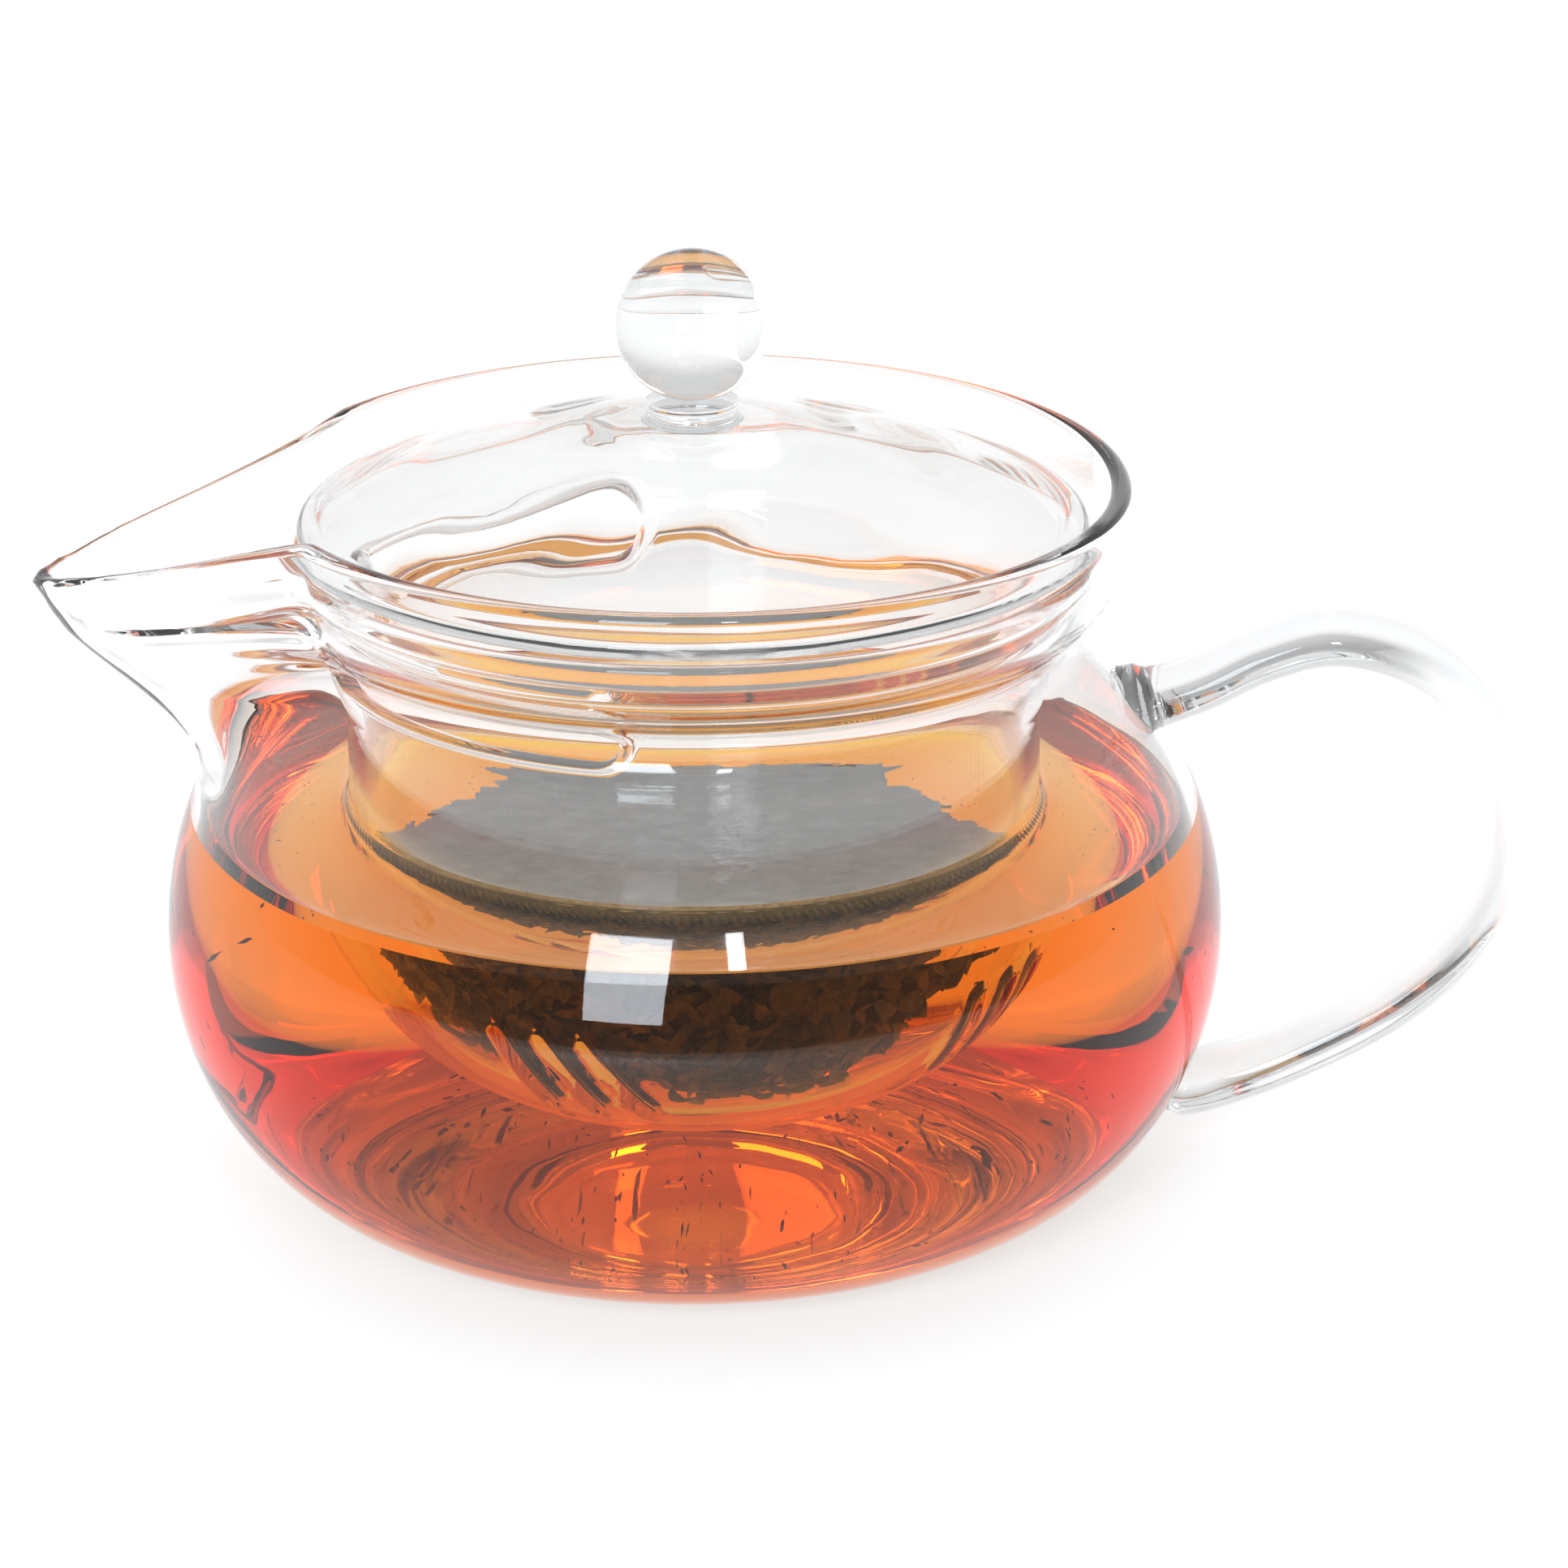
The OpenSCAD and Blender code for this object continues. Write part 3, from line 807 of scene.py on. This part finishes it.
def make_tea_film():
    """The tea's surface: two thin closed films, one inside the cup and one between cup and pot."""
    pot_r = wall_r(TEA_Z, WALL) - GAP
    angles = even_angles(192)
    verts, faces, kinds = [], [], []

    def strip(radii, first_pole):
        start = len(verts)
        rings = []
        for lower in (False, True):
            row = []
            for r in radii:
                z = liquid_top(r, pot_r) - GAP * lower
                ring = [0.0] if r == 0 else angles
                row.append(list(range(len(verts), len(verts) + len(ring))))
                verts.extend(turn(r, a, z) for a in ring)
            rings.append(row)
        top, bottom = rings
        for f in bridge(top):
            faces.append(f)
            kinds.append(2 if first_pole else 0)
        for f in bridge([top[-1], bottom[-1]]) + bridge(bottom[::-1]):
            faces.append(f)
            kinds.append(1)
        if not first_pole:
            for f in bridge([bottom[0], top[0]]):
                faces.append(f)
                kinds.append(1)

    strip(surface_radii(0.0, CUP_R - CUP_WALL - GAP, False), True)
    strip([r for r in surface_radii(CUP_R + GAP, pot_r) if r < wall_r(TEA_Z + RIDGE, WALL) - 0.05], False)
    obj = build("tea_surface", verts, faces, [TEA_FILM, FILM_BACK, CUP_FILM], kinds)
    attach(obj, "pot")


# ---- Leaves ----
class Heap:
    """Collects many small closed shapes into one mesh."""

    def __init__(self):
        self.verts, self.faces, self.kinds = [], [], []

    def add(self, verts, faces, kind=0):
        base = len(self.verts)
        self.verts += [tuple(v) for v in verts]
        self.faces += [tuple(base + i for i in f) for f in faces]
        self.kinds += [kind] * len(faces)


def cup_inner_r(z):
    """Radius of the cup's inside at a height."""
    bottom = CUP_BOTTOM + CUP_WALL
    if z >= BOWL_TOP:
        return CUP_R - CUP_WALL
    share = 1 - ((BOWL_TOP - max(z, bottom)) / (BOWL_TOP - bottom))**1.25
    return (CUP_R - CUP_WALL) * max(0.0, share)**(1 / 3.4)


def basis(normal, rng):
    n = Vector(normal).normalized()
    a = n.orthogonal().normalized()
    spin = rng.uniform(0, 2 * math.pi)
    b = n.cross(a)
    return (a * math.cos(spin) + b * math.sin(spin)), (b * math.cos(spin) - a * math.sin(spin)), n


def curled_leaf(heap, rng, where, normal, length, width, curl, kind):
    """A torn, curled strip of leaf as a closed thin shape."""
    along, across, up = basis(normal, rng)
    rows, cols = 6, 3
    thick = rng.uniform(0.12, 0.22)
    twist = rng.uniform(-0.7, 0.7)
    grid = []
    for i in range(rows):
        t = i / (rows - 1) * 2 - 1
        half = width / 2 * (1 - abs(t)**2.2 * 0.8) * rng.uniform(0.75, 1.1)
        for j in range(cols):
            s = j / (cols - 1) * 2 - 1
            lift = curl * (1 - t * t) + twist * t * s * width * 0.4 + curl * 0.5 * s * s
            spot = Vector(where) + along * (t * length / 2) + across * (s * half)
            grid.append(spot + up * (lift + rng.uniform(-0.1, 0.1)))
    n = rows * cols
    verts = [g + up * thick / 2 for g in grid] + [g - up * thick / 2 for g in grid]
    faces = []
    for i in range(rows - 1):
        for j in range(cols - 1):
            a, b, c, d = i * cols + j, i * cols + j + 1, (i + 1) * cols + j + 1, (i + 1) * cols + j
            faces += [(a, b, c, d), (n + a, n + d, n + c, n + b)]
    rim = list(range(cols)) + [i * cols + cols - 1 for i in range(1, rows)]
    rim += [(rows - 1) * cols + j for j in range(cols - 2, -1, -1)]
    rim += [i * cols for i in range(rows - 2, 0, -1)]
    for a, b in zip(rim, rim[1:] + rim[:1]):
        faces.append((a, n + a, n + b, b))
    heap.add(verts, faces, kind)


def mat_back(x):
    """How far back the floating leaves reach at x."""
    return 12.0 - 0.006 * x**2 - 0.000016 * x**4


def mat_edge(x, y):
    """Above 0 where the floating leaves cover the surface inside the cup."""
    ragged = 1.6 * noise.noise(Vector((x / 5.5, y / 5.5, 2.0)))
    ragged += 1.1 * noise.noise(Vector((x / 1.6, y / 1.6, 8.0)))
    notch = 2.6 * (noise.cell(Vector((x / 3.1, y / 2.3, 4.5))) > 0.45)
    back = mat_back(x) - y
    wall = CUP_R - CUP_WALL - 0.6 - math.hypot(x, y)
    return min(back + 1.0 - notch + ragged, wall)


def at_slits(angle, z):
    """1 in front of a group of slits, 0 away from them."""
    turned = (angle - FIRST_GROUP + 180 / SLIT_GROUPS) % (360 / SLIT_GROUPS) - 180 / SLIT_GROUPS
    across = abs(turned) / 24
    along = abs(z - (SLIT_LOW + SLIT_HIGH) / 2) / 9
    return smooth(1.6 - 1.6 * math.hypot(across, along))


def floating_mat(heap):
    """The leaves that float against the tea's surface, as one thin closed sheet with a torn outline. Its pale
    grey colour is a painted reflection of the bright surroundings in the wet film; the leaves under it are
    near black.
    """
    step = 0.4
    reach = CUP_R - CUP_WALL
    pot_r = wall_r(TEA_Z, WALL) - GAP
    count = int(2 * reach / step)
    cells = {(i, j) for i in range(count) for j in range(count)
             if mat_edge((i + 0.5) * step - reach, (j + 0.5) * step - reach) > 0}
    index = {}
    verts, faces = [], []

    def corner(i, j, lower):
        key = (i, j, lower)
        if key not in index:
            x, y = i * step - reach, j * step - reach
            x += 0.3 * wave(x, y, 0, 0.9, 1.0)
            y += 0.3 * wave(x, y, 0, 0.9, 5.0)
            relief = 0.06 * wave(x, y, 0, 2.5, 3.0) + 0.05 * wave(x, y, 0, 0.8, 6.0)
            z = liquid_top(min(math.hypot(x, y), reach), pot_r) + 0.06 + relief
            z -= lower * (0.7 + 0.3 * wave(x, y, 0, 1.5, 9.0))
            index[key] = len(verts)
            verts.append((x, y, z))
        return index[key]

    for i, j in sorted(cells):
        faces.append([corner(i, j, 0), corner(i + 1, j, 0), corner(i + 1, j + 1, 0), corner(i, j + 1, 0)])
        faces.append([corner(i, j, 1), corner(i, j + 1, 1), corner(i + 1, j + 1, 1), corner(i + 1, j, 1)])
        for (di, dj), a, b in (((-1, 0), (0, 1), (0, 0)), ((1, 0), (1, 0), (1, 1)),
                               ((0, -1), (0, 0), (1, 0)), ((0, 1), (1, 1), (0, 1))):
            if (i + di, j + dj) not in cells:
                p, q = (i + a[0], j + a[1]), (i + b[0], j + b[1])
                faces.append([corner(*p, 1), corner(*q, 1), corner(*q, 0), corner(*p, 0)])
    # kind 1 takes the floating mat's material, whose pale grey is a painted reflection
    heap.add(verts, faces, 1)


def make_leaves():
    rng = random.Random(41)
    heap = Heap()
    top_z = TEA_Z - 1.4
    low_z = CUP_BOTTOM + CUP_WALL + 0.8
    levels = [low_z] + list(np.linspace(low_z + 0.6, top_z, 40))
    profile = [(0.0, levels[0])]
    for z in levels[1:]:
        profile.append((max(1.0, min(cup_inner_r(z) - 2.4, 34.0)), z))
    profile += [(24.0, top_z + 0.1), (12.0, top_z + 0.1), (0.0, top_z + 0.1)]

    def place(k, r, z, a):
        r -= min(4.0, r) * at_slits(a, z)
        x, y, _ = turn(r, a, z)
        slump = max(0.0, y + z - TEA_Z - mat_back(x) + 1.5)
        lump = 2.1 * noise.noise(Vector((x / 4.2, y / 4.2, z / 3.0)))
        lump += 1.1 * noise.noise(Vector((x / 1.7, y / 1.7, z / 1.3)))
        keep = min(1.0, r / 6)
        r2 = max(0.0, r - 1.2 + lump * keep)
        x, y, z = turn(r2, a, z + (0.25 * lump if 0 < k < len(profile) - 3 else 0))
        return x, y - 0.4 * slump, max(low_z, z - 0.6 * slump)

    verts, faces = lathe(profile, even_angles(220), place)
    heap.add(verts, faces, 0)
    for _ in range(1100):
        z = mix(low_z + 1, top_z - 1, rng.random()**0.8)
        a = rng.uniform(0, 360)
        r = min(cup_inner_r(z) - 2.2, 34.0) - rng.uniform(0.2, 1.6) - 4.0 * at_slits(a, z)
        x, y, _ = turn(r, a, z)
        if r < 3 or y + z > TEA_Z + mat_back(x) - 2:
            continue
        slope = (cup_inner_r(z + 0.5) - cup_inner_r(z - 0.5))
        normal = Vector((x / r, y / r, -slope)) + Vector([rng.uniform(-0.5, 0.5) for _ in range(3)])
        length, width, curl = rng.uniform(2.5, 6.5), rng.uniform(0.9, 2.4), rng.uniform(-0.5, 0.9)
        curled_leaf(heap, rng, (x, y, z), normal, length, width, curl, 0)
    floating_mat(heap)
    obj = build("tea_leaves", heap.verts, heap.faces, [LEAF, LEAF_MAT_PAINTED_REFLECTION], heap.kinds, sharp=70)
    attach(obj, "infuser")


def speck(heap, rng, where, size):
    """A crumb of leaf: a stretched octahedron."""
    a, b, c = basis([rng.uniform(-1, 1) for _ in range(3)], rng)
    w = Vector(where)
    sizes = (size * rng.uniform(0.8, 1.8), size * 0.5, size * 0.4)
    verts = [w + sign * axis * size for axis, size in zip((a, b, c), sizes) for sign in (1, -1)]
    faces = [(0, 2, 4), (2, 1, 4), (1, 3, 4), (3, 0, 4), (2, 0, 5), (1, 2, 5), (3, 1, 5), (0, 3, 5)]
    heap.add(verts, faces)


def make_dust():
    """Fine leaf dust on the pot's floor and low on its wall."""
    rng = random.Random(7)
    heap = Heap()
    for _ in range(150):
        r = 31.0 * math.sqrt(rng.random())
        x, y, _ = turn(r, rng.uniform(0, 360), 0)
        z = FLOOR_T + 0.6
        speck(heap, rng, (x, y, z), rng.uniform(0.1, 0.26))
    for k in range(520):
        z = rng.uniform(7, 34)
        r = belly_r(z, WALL) - 0.9
        x, y, _ = turn(r, rng.uniform(0, 360) if k % 3 == 0 else rng.uniform(15, 165), 0)
        speck(heap, rng, (x, y, z), rng.uniform(0.06, 0.15) if y < 0 else rng.uniform(0.12, 0.34))
    obj = build("tea_dust", heap.verts, heap.faces, [DUST])
    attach(obj, "pot")


# ---- Surroundings ----
def make_floor():
    """A plain white table, lit from below as well as above, so that it is white round the pot."""
    half, low = 6.0, -0.0004
    bm = bmesh.new()
    bmesh.ops.create_grid(bm, x_segments=1, y_segments=1, size=half)
    mesh = bpy.data.meshes.new("floor")
    bm.to_mesh(mesh)
    bm.free()
    floor = bpy.data.objects.new("floor", mesh)
    floor.location.z = low
    m, shader, _ = material("floor_white")
    shader.inputs["Base Color"].default_value = (0.8, 0.8, 0.8, 1)
    shader.inputs["Roughness"].default_value = 0.9
    shader.inputs["Specular IOR Level"].default_value = 0.0
    shader.inputs["Emission Color"].default_value = (1, 1, 1, 1)
    shader.inputs["Emission Strength"].default_value = 0.62
    mesh.materials.append(m)
    bpy.context.scene.collection.objects.link(floor)


def make_world():
    """Soft white light all round: full behind the pot, dimmer in front, and a little dimmer overhead."""
    world = bpy.data.worlds.new("studio")
    world.use_nodes = True
    tree = world.node_tree
    tree.nodes.clear()
    new, link = tree.nodes.new, tree.links.new
    out, back = new("ShaderNodeOutputWorld"), new("ShaderNodeBackground")
    where, split = new("ShaderNodeTexCoord"), new("ShaderNodeSeparateXYZ")
    link(where.outputs["Generated"], split.inputs["Vector"])

    def soft(axis, start, end, low, high):
        ease = new("ShaderNodeMapRange")
        ease.interpolation_type = "SMOOTHSTEP"
        for key, value in (("From Min", start), ("From Max", end), ("To Min", low), ("To Max", high)):
            ease.inputs[key].default_value = value
        link(split.outputs[axis], ease.inputs["Value"])
        return ease.outputs["Result"]

    level = new("ShaderNodeMath")
    level.operation = "MULTIPLY"
    link(soft("Y", -0.55, 0.45, 0.35, 1.0), level.inputs[0])
    link(soft("Z", 0.0, 0.25, 1.0, 0.75), level.inputs[1])
    link(level.outputs[0], back.inputs["Color"])
    link(back.outputs["Background"], out.inputs["Surface"])
    bpy.context.scene.world = world


def softbox(name, where, aim, width, height, power, colour=(1, 1, 1)):
    light = bpy.data.lights.new(name, "AREA")
    light.shape = "RECTANGLE"
    light.size, light.size_y = width, height
    light.energy = power
    light.color = colour
    obj = bpy.data.objects.new(name, light)
    obj.location = where
    obj.rotation_euler = (Vector(aim) - Vector(where)).to_track_quat("-Z", "Y").to_euler()
    bpy.context.scene.collection.objects.link(obj)


def direction(azimuth, elevation, distance):
    """A point seen from the pot at an angle from the front (positive to the right) and above the floor."""
    a, e = math.radians(azimuth), math.radians(elevation)
    return (distance * math.sin(a) * math.cos(e), -distance * math.cos(a) * math.cos(e),
            distance * math.sin(e) + 0.04)


def make_lights():
    centre = (0, 0, 0.04)
    softbox("window", direction(-14, 21, 1.0), centre, 0.29, 0.46, 4.7, (0.84, 0.92, 1.0))
    softbox("strip", direction(10.2, 29.7, 1.0), centre, 0.06, 0.2, 0.75, (0.93, 0.97, 1.0))


def make_camera():
    camera = bpy.data.cameras.new("camera")
    camera.sensor_width = 36.0
    camera.lens = 130.70
    camera.clip_start, camera.clip_end = 0.01, 50.0
    obj = bpy.data.objects.new("camera", camera)
    where, aim = Vector((0.01013, -0.60414, 0.27329)), Vector((0.01013, 0.0, 0.04573))
    obj.location = where
    obj.rotation_euler = (aim - where).to_track_quat("-Z", "Y").to_euler()
    bpy.context.scene.collection.objects.link(obj)
    bpy.context.scene.camera = obj


def light_paths():
    """Many layers of glass and tea lie behind one another."""
    cycles = bpy.context.scene.cycles
    cycles.max_bounces = 36
    cycles.transmission_bounces = 36
    cycles.glossy_bounces = 36
    cycles.transparent_max_bounces = 16
    cycles.caustics_reflective = False
    cycles.sample_clamp_indirect = 8.0
    bpy.context.scene.view_settings.view_transform = "Standard"


make_camera()
make_world()
make_lights()
make_floor()
light_paths()
make_pot()
make_handle()
make_infuser()
make_lid()
make_knob()
make_tea()
make_tea_film()
make_leaves()
make_dust()

bpy.context.view_layer.update()
